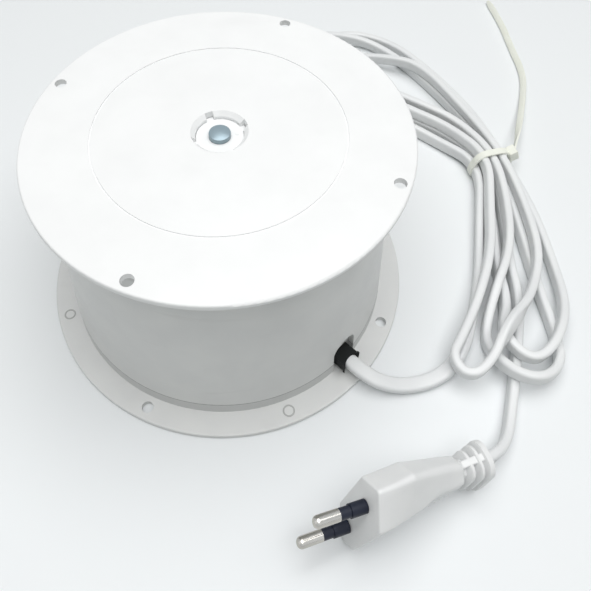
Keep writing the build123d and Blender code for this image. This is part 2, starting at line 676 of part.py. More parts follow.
HANK_START = (85.5, -60.0, FLOOR_Z)
START_HEADING = 42.0
HANK_END = (105.5, -73.0, FLOOR_Z)
END_HEADING = -111.0


def beside(spot, heading, reach):
    """Floor point at a reach from a spot along a heading."""
    return (spot[0] + reach * cos(radians(heading)), spot[1] + reach * sin(radians(heading)), FLOOR_Z)


LEAD_POINTS = [
    exit_point(CORD_EXIT_U, 0, EXIT_Z),
    exit_point(CORD_EXIT_U + 8.5, 0, EXIT_Z),
    (59.5, -66.2, 4.2),
    (70.0, -68.0, FLOOR_Z),
    beside(HANK_START, START_HEADING, -7.5),
    HANK_START]


def hank_route():
    """Stations of the hank as (x, y, height above the floor strand in layers, heading)."""
    def slot(offset, layer, heading):
        side = radians(WAIST_TURN - 90)
        x = WAIST[0] + offset * cos(side)
        y = WAIST[1] + offset * sin(side)
        return (x, y, layer + BAND_LIFT / LAYER, heading)

    first_up = [(96.5, -45.5, 0, 57), (108, -21, 0, 66), (117.7, 8, 0, 77), slot(-BUNDLE_HALF, 0, UP - 4),
                (112.5, 62, 0, 122), (99, 75, 0.1, 141)]
    first_turn = [(84, 78, 0.5, 182), (69, 86.5, 0.9, 92), (80.5, 93.5, 1, -14)]
    first_down = [(103, 79.5, 1, -40), (118, 65.8, 1, -58), slot(-BUNDLE_TOP_HALF, 1, DOWN),
                  (123.5, 15, 1, -101), (115.5, -10, 1, -113), (103.5, -32, 1, -122), (91.5, -49, 1, -124)]
    low_turn_a = [(87, -56.5, 1, -88), (93.5, -61.5, 1.05, 12), (109, -49.5, 2.05, 42),
                  (118, -41, 1.8, 44), (129, -28, 1, 52), (136.5, -12, 1, 74), (139.5, 10, 1, 88)]
    second_turn = [slot(BUNDLE_TOP_HALF, 1, UP), (129.5, 80, 1, 107), (115.5, 113.5, 1, 117),
                   (98.5, 125.5, 0.64, 149), (82, 132, 0, 184), (66.5, 125, 0.3, 244), (70, 114.5, 0.95, 312),
                   (84, 103.5, 1, -36)]
    second_down = [(107.5, 85.2, 1, -40), (123.7, 69.4, 1, -60), slot(-0.5, 1, DOWN),
                   (131.5, 15, 1, -101), (124.5, -9, 1, -117), (113, -27.6, 0.88, -122),
                   (105.8, -41, 0.1, -112)]
    low_turn_b = [(103, -52, 0.05, -88), (107.5, -64.5, 0.95, -42), (117, -68.5, 1, 2),
                  (127.5, -62.5, 0.4, 52), (132, -50, 0, 80), (133.5, -25, 0, 87), (136, 5, 0, 86)]
    third_turn = [slot(5.4, 0, UP), (129.5, 80, 0, 107), (115.5, 113.5, 0, 114),
                  (101, 136.5, 0, 134), (84, 147.5, 0.4, 168), (62, 147, 1, 194), (45.5, 135.5, 0.8, 240),
                  (44, 116, 0.1, 290), (60, 102.5, 0, 343), (82.5, 94.3, 0, -34)]
    third_down = [(103, 79.5, 0, -40), (118, 65.8, 0, -58), slot(-5.4, 0, DOWN),
                  (125.4, 15, 0, -98), (119.4, -12, 0, -100), (116.8, -32, 0.1, -102)]
    low_turn_c = [(109.5, -47, 0.9, -108), (113, -57.5, 1, -42), (120, -60, 1, 12),
                  (130, -52.5, 1.05, 48), (139.5, -37, 0.6, 66), (144, -15, 0, 84), (145.5, 12, 0, 90)]
    fourth_turn = [slot(BUNDLE_HALF, 0, UP), (136, 82, 0, 107), (121.5, 118, 0, 114), (105, 143, 0, 132),
                   (81, 154.5, 0, 180), (60, 144, 0, 228), (53.5, 124, 0, 280), (68, 110.5, 0, -32)]
    fourth_down = [(107.5, 85.2, 0, -40), (123.7, 69.4, 0, -60), slot(0, 0, DOWN),
                   (131.2, 15, 0, -97), (125.5, -12, 0, -100), (122.6, -32, 0, -105), (112.5, -58, 0, -110)]
    return (first_up + first_turn + first_down + low_turn_a + second_turn + second_down + low_turn_b
            + third_turn + third_down + low_turn_c + fourth_turn + fourth_down)


def biarc(start, start_dir, end, end_dir):
    """Two tangent arcs between two stations, in space."""
    v = end - start
    along = v.dot(start_dir + end_dir)
    both = start_dir.dot(end_dir)
    if abs(1 - both) < 1e-9:
        reach = v.dot(v) / (4 * v.dot(end_dir))
    else:
        reach = (-along + sqrt(along * along + 2 * (1 - both) * v.dot(v))) / (2 * (1 - both))
    joint = (start + start_dir * reach + end - end_dir * reach) * 0.5
    middle = ((end - end_dir * reach) - (start + start_dir * reach)).normalized()
    return [tangent_arc(start, joint, start_dir), tangent_arc(joint, end, middle)]


def tangent_arc(a, b, direction):
    """Arc from a to b that leaves a along a direction."""
    if radians((b - a).get_angle(direction)) < 1e-4:
        return Line(a, b)
    return TangentArc(a, b, tangent=direction)


def heading_vector(heading, slope=0.0):
    """Unit vector of a heading in degrees with a rise per length."""
    return Vector(cos(radians(heading)), sin(radians(heading)), slope).normalized()


def hank_path():
    """Path of the hank: straight ends and biarcs through its stations."""
    stations = [(Vector(x, y, FLOOR_Z + LAYER * layer), heading) for x, y, layer, heading in hank_route()]
    ends = [(Vector(*HANK_START), START_HEADING), (Vector(*HANK_END), END_HEADING)]
    lead_in = ends[0][0] + heading_vector(START_HEADING) * (2 * TUBE_R)
    lead_out = ends[1][0] - heading_vector(END_HEADING) * (2 * TUBE_R)
    chain = [(lead_in, START_HEADING)] + stations + [(lead_out, END_HEADING)]
    spots = [spot for spot, _ in chain]
    slopes = [0.0]
    for before, here, after in zip(spots, spots[1:], spots[2:]):
        run_in, run_out = here - before, after - here
        rise_in, rise_out = run_in.Z / run_in.length, run_out.Z / run_out.length
        level = rise_in * rise_out <= 0
        slopes.append(0.0 if level else (rise_in + rise_out) / 2)
    slopes.append(0.0)
    edges = [Line(ends[0][0], lead_in)]
    for k in range(len(chain) - 1):
        edges += biarc(spots[k], heading_vector(chain[k][1], slopes[k]),
                       spots[k + 1], heading_vector(chain[k + 1][1], slopes[k + 1]))
    edges.append(Line(lead_out, ends[1][0]))
    return edges


def least_gap(edges):
    """Least gap of the hank's tube to itself, from points along its path."""
    points = []
    travelled = 0.0
    for edge in edges:
        steps = max(2, ceil(edge.length / 1.5))
        for k in range(steps):
            points.append((travelled + edge.length * k / steps, edge @ (k / steps)))
        travelled += edge.length
    least = (1e9, None, None)
    for i, (s, p) in enumerate(points):
        for t, q in points[i + 1:]:
            if t - s > 12 * TUBE_R / 2:
                apart = hypot(p.X - q.X, p.Y - q.Y, p.Z - q.Z)
                if apart < least[0]:
                    least = (apart, p, q)
    return least[0] - 2 * TUBE_R, least[1], least[2], travelled


def cord_hank():
    """Bundled loops of the cord, one unbroken tube."""
    edges = hank_path()
    gap, here, there, length = least_gap(edges)
    print(f"hank length {length:.0f} mm, least gap to itself {gap:.2f} mm near {here} and {there}")
    radii = [edge.radius for edge in edges if edge.geom_type == GeomType.CIRCLE]
    print(f"hank arcs {len(edges)}, tightest {min(radii):.1f} mm")
    hank = round_tube(Wire(edges), TUBE_R)
    print(f"hank volume over section times length {hank.volume / (pi * TUBE_R ** 2 * length):.4f}")
    return hank


def cord_stretch(points, name):
    """Plain tube of the cord along straight runs and arcs."""
    path, radii = rounded_path(points)
    stretch = round_tube(path, TUBE_R)
    print(name, "radii", [round(r, 1) for r in radii], f"length {path.length:.1f}",
          f"volume ratio {stretch.volume / (pi * TUBE_R ** 2 * path.length):.4f}")
    return stretch


# Plug

PLUG_LIFT = PLUG_W / 2 * cos(radians(PLUG_TILT)) + PLUG_SHOULDER * sin(radians(PLUG_TILT)) + 0.05
PLUG_FRAME = (Pos(PLUG_FACE[0], PLUG_FACE[1], PLUG_LIFT)
              * Rot(Z=PLUG_YAW) * Rot(Y=PLUG_TILT) * Rot(X=90))


def plug_hexagon(x, width, height):
    """Six-sided section of the plug at a distance behind its face."""
    flat = (width - height) / 2
    corners = [(width / 2, 0), (flat, height / 2), (-flat, height / 2),
               (-width / 2, 0), (-flat, -height / 2), (flat, -height / 2)]
    plane = Plane(origin=(x, 0, 0), x_dir=(0, 1, 0), z_dir=(1, 0, 0))
    return plane * make_face(Polyline(*corners, close=True))


def pin_axis(side):
    """Location of a plug pin: its local -Z runs out to the tip."""
    lean = degrees(atan2((PLUG_PIN_ROOT - PLUG_PIN_TIP) / 2, PLUG_PIN_LENGTH))
    return Pos(0, side * PLUG_PIN_ROOT / 2, 0) * Rot(Z=-side * lean) * Rot(Y=90)


def plug_body():
    """Moulded plug body, tapered from its six-sided face to the neck."""
    sections = [plug_hexagon(0, PLUG_W, PLUG_H), plug_hexagon(PLUG_SHOULDER, PLUG_W, PLUG_H),
                plug_hexagon(20, PLUG_W * 0.76, PLUG_H), plug_hexagon(PLUG_BODY, 17.0, 11.0)]
    body = loft(sections, ruled=True)
    for side in (-1, 1):
        body -= pin_axis(side) * rod(PLUG_PIN_CORE + FIT, -1, PLUG_PIN_DEPTH)
    return PLUG_FRAME * body


def plug_relief():
    """Tapered strain relief with slots each side of a spine."""
    length = RELIEF_END - PLUG_BODY
    near = Plane(origin=(PLUG_BODY, 0, 0), x_dir=(0, 1, 0), z_dir=(1, 0, 0)) * Rectangle(12, 8.4)
    far = Plane(origin=(RELIEF_END, 0, 0), x_dir=(0, 1, 0), z_dir=(1, 0, 0)) * Rectangle(7.6, 6.6)
    relief = loft([near, far], ruled=True)
    for k in range(3):
        x = PLUG_BODY + length * (0.36 + 0.2 * k)
        for side in (-1, 1):
            relief -= Pos(x, side * 6.4, 0) * Box(1.7, 8.2, 20)
    return PLUG_FRAME * relief


def plug_pins():
    """Two contact pins with domed tips."""
    pins = []
    for side in (-1, 1):
        tip = rod(PLUG_PIN_R, -PLUG_PIN_LENGTH, -PLUG_PIN_SLEEVE)
        tip = fillet(tip.edges().group_by(Axis.Z)[0], PLUG_PIN_R * 0.9)
        pins.append(PLUG_FRAME * pin_axis(side) * (tip + rod(PLUG_PIN_CORE, -PLUG_PIN_SLEEVE - 1, PLUG_PIN_DEPTH - FIT)))
    return pins


def pin_sleeves():
    """Insulating sleeves on the roots of the pins."""
    bore = PLUG_PIN_CORE + FIT
    sleeve = tube(PLUG_PIN_R - 0.1, bore, -PLUG_PIN_SLEEVE, 0) + tube(PLUG_PIN_R + 0.25, bore, -PLUG_PIN_SLEEVE * 0.6, 0)
    return [PLUG_FRAME * pin_axis(side) * (sleeve - rod(9, -0.2, 1)) for side in (-1, 1)]


RELIEF_MOUTH = (PLUG_FRAME * Pos(RELIEF_END, 0, 0)).position
RELIEF_AHEAD = (PLUG_FRAME * Pos(RELIEF_END + 6.0, 0, 0)).position
PLUG_LEAD_POINTS = [
    HANK_END,
    beside(HANK_END, END_HEADING, 8.0),
    (101.2, -89.0, FLOOR_Z),
    tuple(RELIEF_AHEAD),
    tuple(RELIEF_MOUTH)]


# Cable tie

def cable_tie():
    """Band round the hank's waist, with its head and its long free tail."""
    low = FLOOR_Z + BAND_LIFT - TUBE_R - TIE_GAP
    high = FLOOR_Z + BAND_LIFT + LAYER + TUBE_R + TIE_GAP
    wide = BUNDLE_HALF + TUBE_R + TIE_GAP
    narrow = BUNDLE_TOP_HALF + TUBE_R + TIE_GAP
    shoulder = FLOOR_Z + BAND_LIFT + TUBE_R
    across = Plane(origin=(WAIST[0], WAIST[1], 0), x_dir=polar(1, WAIST_TURN - 90), z_dir=polar(-1, WAIST_TURN))
    corners = [(-wide, low), (wide, low), (wide, shoulder), (narrow, high), (-narrow, high), (-wide, shoulder)]
    inner = fillet(make_face(Polyline(*corners, close=True)).vertices(), 1.5)
    band = extrude(across * (offset(inner, TIE_T) - inner), TIE_W / 2, both=True)
    head_u = wide + TIE_T
    head = across * Pos(head_u + 1.4, shoulder - 2.6, 0) * Box(4.0, 5.6, TIE_W + 2.0)
    head = fillet(head.edges().group_by(SortBy.LENGTH)[-1], 0.8)
    start = across.from_local_coords(Vector(head_u + 2.4, shoulder - 2.6, 0))
    tail_path = Spline((start.X, start.Y), (162, 77), (173, 97), (177.5, 118), (178.5, 140), (180, 160), (179, 182),
                       tangents=[(0.8, 0.6), (-0.1, 1)])
    tail = extrude(trace(tail_path, TIE_T), TIE_W)
    return band + head + Pos(0, 0, shoulder - 2.6 - TIE_W / 2) * tail


NODES = {
    "turntable_plate": turntable_plate,
    "drive_hub": drive_hub,
    "hub_screws": hub_screws,
    "hub_pin": lambda: cross_pin(HUB_PIN_Z, HUB_PIN_LENGTH, 0),
    "spindle": spindle,
    "retaining_ring": retaining_ring,
    "upper_race": lambda: race(UPPER_RACE_Z, CAGE_Z),
    "ball_cage": ball_cage,
    "bearing_balls": bearing_balls,
    "lower_race": lambda: race(WELL_FLOOR, CAGE_Z),
    "upper_bush": upper_bush,
    "lower_bush": lower_bush,
    "spindle_gear": spindle_gear,
    "gear_pin": lambda: cross_pin(PIN_Z, 2 * GEAR_HUB_R - 0.4, 90),
    "pinion": pinion,
    "pinion_screw": pinion_screw,
    "motor_shaft": motor_shaft,
    "motor_can": motor_can,
    "motor_gearcase": motor_gearcase,
    "motor_face_plate": motor_face_plate,
    "motor_screws": motor_screws,
    "drum_housing": drum_housing,
    "base_plate": base_plate,
    "base_screws": base_screws,
    "cord_sleeve": cord_sleeve,
    "cord_inner": cord_inner,
    "cord_clamp": cord_clamp,
    "clamp_screws": clamp_screws,
    "terminal_block": terminal_block,
    "terminal_screws": terminal_screws,
    "motor_leads": motor_leads,
    "power_cord": lambda: cord_stretch(LEAD_POINTS, "power_cord"),
    "cord_hank": cord_hank,
    "plug_cord": lambda: cord_stretch(PLUG_LEAD_POINTS, "plug_cord"),
    "cable_tie": cable_tie,
    "plug_body": plug_body,
    "plug_relief": plug_relief,
    "plug_pins": plug_pins,
    "pin_sleeves": pin_sleeves,
}


def main():
    """Build every node and write one file for each."""
    os.makedirs("parts", exist_ok=True)
    for name, make in NODES.items():
        made = make()
        shape = Compound(children=made) if isinstance(made, list) else made
        export_step(shape, f"parts/{name}.step")


main()
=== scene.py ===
import json
from math import cos, pi, radians, sin

import bmesh
import bpy
from mathutils import Matrix, Vector


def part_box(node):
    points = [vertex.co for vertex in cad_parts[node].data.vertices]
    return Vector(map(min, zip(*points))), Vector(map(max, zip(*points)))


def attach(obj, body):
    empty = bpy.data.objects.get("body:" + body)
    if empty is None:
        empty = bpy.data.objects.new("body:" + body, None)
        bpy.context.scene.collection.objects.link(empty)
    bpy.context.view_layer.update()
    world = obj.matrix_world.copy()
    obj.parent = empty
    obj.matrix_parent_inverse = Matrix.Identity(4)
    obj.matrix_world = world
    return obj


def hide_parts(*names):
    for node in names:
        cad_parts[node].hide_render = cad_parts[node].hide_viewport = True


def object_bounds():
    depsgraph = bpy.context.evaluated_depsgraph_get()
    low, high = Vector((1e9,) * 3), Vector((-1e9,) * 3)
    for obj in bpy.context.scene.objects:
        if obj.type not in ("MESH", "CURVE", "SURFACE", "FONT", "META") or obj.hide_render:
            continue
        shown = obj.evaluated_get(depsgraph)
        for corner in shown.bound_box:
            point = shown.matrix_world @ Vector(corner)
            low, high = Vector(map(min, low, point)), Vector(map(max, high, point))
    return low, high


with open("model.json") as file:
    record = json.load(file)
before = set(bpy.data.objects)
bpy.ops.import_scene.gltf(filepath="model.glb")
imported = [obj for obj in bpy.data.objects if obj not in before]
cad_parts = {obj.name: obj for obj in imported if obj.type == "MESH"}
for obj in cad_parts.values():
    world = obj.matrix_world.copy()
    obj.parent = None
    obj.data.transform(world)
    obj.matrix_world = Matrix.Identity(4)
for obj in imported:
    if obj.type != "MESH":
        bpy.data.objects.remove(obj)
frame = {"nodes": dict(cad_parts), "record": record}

# Looks of the display turntable. Metres, in the frame of the model.

NODES = frame["nodes"]
CAD_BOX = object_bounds()
SCENE = bpy.context.scene

# Camera, fitted to the ellipses of the plate and the flange in the photograph

PHOTO_PX = 591
FOCAL_PX = 677.942
CENTRE_PX = (271.083, 150.0)
SENSOR_MM = 36.0
CAMERA_AT = (0.0, -0.167303, 0.263176)
CAMERA_PITCH = radians(47.977)
CAMERA_YAW = radians(6.3065)
CAMERA_ROLL = radians(0.4944)

# Cord. The flat cord lies flat in its sleeve and stands on edge in the bundle

CORD_WIDTH = 0.0060
CORD_THICK = 0.0037
EXIT = (0.04480, -0.05339, 0.0073)
STRAND_Z = 0.00305
# Layer step of the round cord in CAD, and of the strands that stand on edge here
LAYER = 0.0054
SHOWN_LAYER = 0.00615
BAND_LIFT = 0.00145
FLAT_UNTIL = 0.030
ON_EDGE_FROM = 0.080
LEAN_FROM = 0.0125
LEAN_FULL = 0.0160
LEAN = radians(38.0)
WAVER = radians(6.0)
WAVER_LONG = 0.043
WAVER_SHORT = 0.0187
WAVER_SHARE = 0.6
WAVER_FULL = 0.12
WAVER_END = (0.012, 0.03)
CORD_EDGE = 0.0013
CORD_STEPS = 9
LEAST_STEP = 0.00005

# Waist of the bundle, where the tie holds it

WAIST = (0.134, 0.043)
WAIST_TURN = radians(98.0)
BUNDLE_HALF = 0.011
BUNDLE_TOP_HALF = 0.0065
BUNDLE_INNER_HALF = 0.0054
TOP_MIDDLE = -0.0005
WAIST_DRAW = 0.69

# Plug: middle of its face, and its turns

PLUG_AT = (0.0353, -0.1113, 0.01908)
PLUG_YAW = radians(14.0)
PLUG_TILT = radians(13.5)
# Corners of the face: upper edge, near side, lower edge, far side
PLUG_CORNERS = [(0.0218, 0.0002), (0.0109, 0.0092), (-0.0133, 0.0069), (-0.0194, 0.0013), (-0.0094, -0.0075),
                (0.0148, -0.0073)]
PLUG_DRAWN_FROM = [0.014, 0.004, 0.0, 0.0, 0.006, 0.014]
PLUG_BODY = 0.0405
PLUG_BEND = 0.0022
PLUG_RISE = 0.0026
NECK_WIDTH = 0.0145
NECK_HEIGHT = 0.0096
PLUG_TAPER = 0.9
PLUG_ROUND = 0.0012
PLUG_STEPS = 48
PLUG_SIDES = PLUG_BODY - 0.0021
# Edges of the face and the back as (distance behind the face, inset)
FACE_EDGE = [(0.0, 0.0016), (0.00015, 0.0008), (0.0005, 0.0003), (0.0011, 0.0)]
BACK_EDGE = [(PLUG_BODY - 0.0004, 0.0008), (PLUG_BODY, 0.0020)]

# Finger dents in the plug's flat sides, with an arc of grip dots round each

DENT_DEPTH = 0.0007
DENT_X = 0.0235
DENT_A = -0.0005
DENT_LONG = 0.0125
DENT_WIDE = 0.0075
DENT_SLOPE = 2.2
SIDES_FROM = 0.003
GRIP_DOTS = 13
GRIP_LONG = 0.0128
GRIP_WIDE = 0.0078
GRIP_START = 200
GRIP_SPAN = 130
DOT_R = 0.00038
DOT_RISE = 0.7
DOT_ROOT = 0.0001
DOT_TOP = 0.05
DOT_LEVELS = 3
DOT_SIDES = 10

# Strain relief

RELIEF_END = 0.0500
RELIEF_ROOT = 0.001
CORE = (0.0082, 0.0060, 0.0020)
RIBS = 3
RIB_FIRST = 0.0021
RIB_STEP = 0.003162
RIB_WIDTH = 0.0152
RIB_WIDER = 0.0022
RIB_HEIGHT = 0.0104
RIB_TALLER = 0.0014
RIB_HALF = 0.0008
END_RIB_HALF = 0.0013
RIB_ROUND = 0.38
RIB_BEVEL = 0.0003
RIB_INSET = 0.0009
RAIL_HALF = 0.0013
RAIL_EDGE = 0.0070
RAIL_WIDER = 0.0021
RAIL_FOOT = 0.0030
RAIL_ROUND = 0.0005
RAIL_SHORT = 0.0012
RELIEF_STEPS = 8

# Cable tie

TIE_WIDTH = 0.0036
TIE_THICK = 0.0011
TIE_LOW = 0.0014
TIE_SHOULDER = 0.0068
TIE_HIGH = 0.0142
TIE_HALF = 0.0100
TIE_TOP_HALF = 0.0069
TAIL_LEAN = radians(40.0)
HEAD_THICK = 0.0042
HEAD_OUT = 0.3
HEAD_TALL = 0.0060
HEAD_HALF = 0.0029
HEAD_BEVEL = 0.0003
HEAD_INSET = 0.0005
HEAD_ROUND = 0.0007
TIE_SOFT = 0.00018
TIE_CORNERS = (0.0020, 0.0020, 0.0034, 0.0060, 0.0060, 0.0034)
TAIL_ROUTE = [(0.1545, 0.0610, 0.0075), (0.1672, 0.0860, 0.0026), (0.1772, 0.1100, 0.0020),
              (0.1782, 0.1350, 0.0020), (0.1803, 0.1600, 0.0020), (0.1790, 0.1820, 0.0020)]
TAIL_START = 0.0008
TAIL_STEPS = 64
TAIL_TURN = (0.004, 0.03)
TAIL_RIDGE = 0.00016
TAIL_GROOVE = 0.0007
TAIL_TIP = 0.008
TAIL_TIP_SHARE = 0.45
TAIL_SHARE = 0.98

# Spindle's end

SPINDLE_END_R = 0.0040
SPINDLE_SUNK = 0.0011
SPINDLE_OVERLAP = 0.0002
SPINDLE_SIDES = 64
# Rounded edge of the end as (inset, distance below the end)
SPINDLE_EDGE = [(0.0, 0.0005), (0.0001, 0.0002), (0.0005, 0.0)]

# Seam between drum and base, and the painted shade on the upstand below it

SEAM_Z = 0.008
SEAM_HALF = 0.00016
UPSTAND_Z = 0.0025

# Ring marks between the holes of the flange

MARK_CIRCLE = 0.07115
MARK_ROOT = 0.00002
MARK_FIRST = radians(-74.8)
MARK_MIDDLE = 0.00205
MARK_HALF = 0.00032
MARK_RISE = 0.00034
MARK_SIDES = 40
MARK_ARC = 6
FLANGE_TOP = 0.0024

# Floor

FLOOR_HALF = 3.0
FLOOR_Z = -0.0001


# Route of the cord

def slot(offset, layer):
    """Place in the waist at an offset across it, drawn in as the tie pulls it."""
    side = WAIST_TURN - pi / 2
    drawn = offset * WAIST_DRAW
    return (WAIST[0] + drawn * cos(side), WAIST[1] + drawn * sin(side), layer + BAND_LIFT / LAYER)


LEAD = [EXIT, (0.0490, -0.0584, 0.0073), (0.0555, -0.0626, 0.0056), (0.0640, -0.0639, 0.0031),
        (0.0735, -0.0632, 0.0022), (0.0812, -0.0608, 0.0027), (0.0873, -0.0568, STRAND_Z)]
PLUG_LEAD = [(0.1055, -0.0730, STRAND_Z), (0.1022, -0.0800, STRAND_Z), (0.0988, -0.0868, 0.0038),
             (0.0938, -0.0922, 0.0064), (0.0872, -0.0955, 0.0088), (0.0800, -0.0979, 0.0106)]

# Stations of the bundle as (x, y, layers above the floor strand)
FIRST_UP = [(0.0965, -0.0455, 0), (0.1080, -0.0210, 0), (0.1177, 0.0080, 0), slot(-BUNDLE_HALF, 0),
            (0.1125, 0.0620, 0), (0.0990, 0.0750, 0.1)]
FIRST_TURN = [(0.0850, 0.0782, 0.4), (0.0745, 0.0800, 0.7), (0.0690, 0.0870, 0.95), (0.0742, 0.0942, 1),
              (0.0860, 0.0930, 1)]
FIRST_DOWN = [(0.1030, 0.0795, 1), (0.1180, 0.0658, 1), slot(-BUNDLE_TOP_HALF, 1), (0.1235, 0.0150, 1),
              (0.1155, -0.0100, 1), (0.1035, -0.0320, 1), (0.0915, -0.0490, 1)]
LOW_TURN_A = [(0.0862, -0.0562, 1), (0.0883, -0.0632, 1), (0.0963, -0.0628, 1.2), (0.1090, -0.0495, 2.05),
              (0.1180, -0.0410, 1.8), (0.1290, -0.0280, 1), (0.1365, -0.0120, 1), (0.1395, 0.0100, 1)]
SECOND_TURN = [slot(BUNDLE_TOP_HALF, 1), (0.1295, 0.0800, 1), (0.1155, 0.1135, 1),
               (0.0985, 0.1255, 0.64), (0.0820, 0.1320, 0), (0.0665, 0.1250, 0.3),
               (0.0700, 0.1145, 0.95), (0.0840, 0.1035, 1)]
SECOND_DOWN = [(0.1075, 0.0852, 1), (0.1237, 0.0694, 1), slot(TOP_MIDDLE, 1), (0.1315, 0.0150, 1),
               (0.1245, -0.0090, 1), (0.1130, -0.0276, 0.88), (0.1058, -0.0410, 0.1)]
LOW_TURN_B = [(0.1030, -0.0520, 0.05), (0.1075, -0.0645, 0.95), (0.1170, -0.0685, 1),
              (0.1275, -0.0625, 0.4), (0.1320, -0.0500, 0), (0.1335, -0.0250, 0), (0.1360, 0.0050, 0)]
THIRD_TURN = [slot(BUNDLE_INNER_HALF, 0), (0.1295, 0.0800, 0), (0.1155, 0.1135, 0), (0.1010, 0.1365, 0),
              (0.0840, 0.1475, 0.4), (0.0620, 0.1470, 1), (0.0455, 0.1355, 0.8), (0.0440, 0.1160, 0.1),
              (0.0600, 0.1025, 0), (0.0825, 0.0943, 0)]
THIRD_DOWN = [(0.1030, 0.0795, 0), (0.1180, 0.0658, 0), slot(-BUNDLE_INNER_HALF, 0), (0.1254, 0.0150, 0),
              (0.1194, -0.0120, 0), (0.1168, -0.0320, 0.1)]
LOW_TURN_C = [(0.1095, -0.0470, 0.9), (0.1130, -0.0575, 1), (0.1200, -0.0600, 1),
              (0.1300, -0.0525, 1.05), (0.1395, -0.0370, 0.6), (0.1440, -0.0150, 0), (0.1455, 0.0120, 0)]
FOURTH_TURN = [slot(BUNDLE_HALF, 0), (0.1360, 0.0820, 0), (0.1215, 0.1180, 0), (0.1050, 0.1430, 0),
               (0.0810, 0.1545, 0), (0.0600, 0.1440, 0), (0.0535, 0.1240, 0), (0.0680, 0.1105, 0)]
FOURTH_DOWN = [(0.1075, 0.0852, 0), (0.1237, 0.0694, 0), slot(0, 0), (0.1312, 0.0150, 0),
               (0.1255, -0.0120, 0), (0.1226, -0.0320, 0), (0.1125, -0.0580, 0)]
BUNDLE = (FIRST_UP + FIRST_TURN + FIRST_DOWN + LOW_TURN_A + SECOND_TURN + SECOND_DOWN + LOW_TURN_B
          + THIRD_TURN + THIRD_DOWN + LOW_TURN_C + FOURTH_TURN + FOURTH_DOWN)


def pushed_out(stations):
    """Control points that make the bundle's smooth line pass through its stations, above the floor."""
    places = [Vector((x, y, STRAND_Z + SHOWN_LAYER * layer)) for x, y, layer in stations]
    controls = [places[0]]
    for before, here, after in zip(places, places[1:], places[2:]):
        control = here - (before - 2 * here + after) / 8
        control.z = max(control.z, STRAND_Z)
        controls.append(control)
    return controls + [places[-1]]


def smooth_line(name, controls, steps):
    """Points along the smooth spline of some control points."""
    curve = bpy.data.curves.new(name, "CURVE")
    curve.dimensions = "3D"
    spline = curve.splines.new("NURBS")
    spline.points.add(len(controls) - 1)
    for point, place in zip(spline.points, controls):
        point.co = (*place, 1.0)
    spline.order_u = 3
    spline.use_endpoint_u = True
    spline.resolution_u = steps
    holder = bpy.data.objects.new(name, curve)
    SCENE.collection.objects.link(holder)
    line = bpy.data.meshes.new_from_object(holder)
    points = []
    for vertex in line.vertices:
        if not points or (vertex.co - points[-1]).length > LEAST_STEP:
            points.append(vertex.co.copy())
    bpy.data.objects.remove(holder)
    bpy.data.curves.remove(curve)
    bpy.data.meshes.remove(line)
    return points


# Mesh building

def frames_along(points):
    """For each point of a line: place, level side direction, upward direction, length so far."""
    frames = []
    travelled = 0.0
    last = len(points) - 1
    for k, place in enumerate(points):
        if k:
            travelled += (place - points[k - 1]).length
        ahead = (points[min(k + 1, last)] - points[max(k - 1, 0)]).normalized()
        side = ahead.cross(Vector((0, 0, 1))).normalized()
        frames.append((place, side, side.cross(ahead).normalized(), travelled))
    return frames


def rounded_outline(corners, radii, steps=5, cuts=1):
    """Closed outline with each corner rounded by an arc and each side in one or more equal cuts."""
    outline = []
    count = len(corners)
    radii = radii if isinstance(radii, list) else [radii] * count
    for k, radius in enumerate(radii):
        here = Vector(corners[k])
        to_before = (Vector(corners[k - 1]) - here).normalized()
        to_after = (Vector(corners[(k + 1) % count]) - here).normalized()
        half = to_before.angle(to_after) / 2
        reach = radius / sin(half)
        middle = here + (to_before + to_after).normalized() * reach
        start = here + to_before * (radius * cos(half) / sin(half)) - middle
        end = here + to_after * (radius * cos(half) / sin(half)) - middle
        first = middle + start
        for j in range(1, cuts):
            if outline:
                outline.append(tuple(last.lerp(first, j / cuts)))
        for j in range(steps + 1):
            spoke = (start * (1 - j / steps) + end * (j / steps)).normalized() * radius
            outline.append(tuple(middle + spoke))
        last = middle + end
    closing = Vector(outline[0])
    return outline + [tuple(last.lerp(closing, j / cuts)) for j in range(1, cuts)]


def piece_of(name, vertices, faces, crease=40.0):
    """New mesh object, smooth but for edges sharper than the crease angle."""
    mesh = bpy.data.meshes.new(name)
    mesh.from_pydata([tuple(v) for v in vertices], [], faces)
    work = bmesh.new()
    work.from_mesh(mesh)
    bmesh.ops.recalc_face_normals(work, faces=work.faces)
    work.to_mesh(mesh)
    work.free()
    mesh.shade_smooth()
    mesh.set_sharp_from_angle(angle=radians(crease))
    piece = bpy.data.objects.new(name, mesh)
    SCENE.collection.objects.link(piece)
    return piece


def skin(rings, capped=True, looped=False):
    """Vertices and faces of a skin over rings of equal counts."""
    count = len(rings[0])
    vertices = [place for ring in rings for place in ring]
    faces = []
    pairs = len(rings) if looped else len(rings) - 1
    for r in range(pairs):
        low, high = r * count, (r + 1) % len(rings) * count
        for k in range(count):
            j = (k + 1) % count
            faces.append((low + k, low + j, high + j, high + k))
    if capped and not looped:
        faces.append(tuple(range(count)))
        faces.append(tuple(range((len(rings) - 1) * count, len(rings) * count)))
    return vertices, faces


def add_skin(vertices, faces, new):
    """Append a skin's vertices and faces to others."""
    start = len(vertices)
    vertices.extend(new[0])
    faces.extend(tuple(start + k for k in face) for face in new[1])


# Materials

def node_of(tree, kind, **values):
    """Shader node with some of its settings."""
    node = tree.nodes.new(kind)
    for name, value in values.items():
        setattr(node, name, value)
    return node


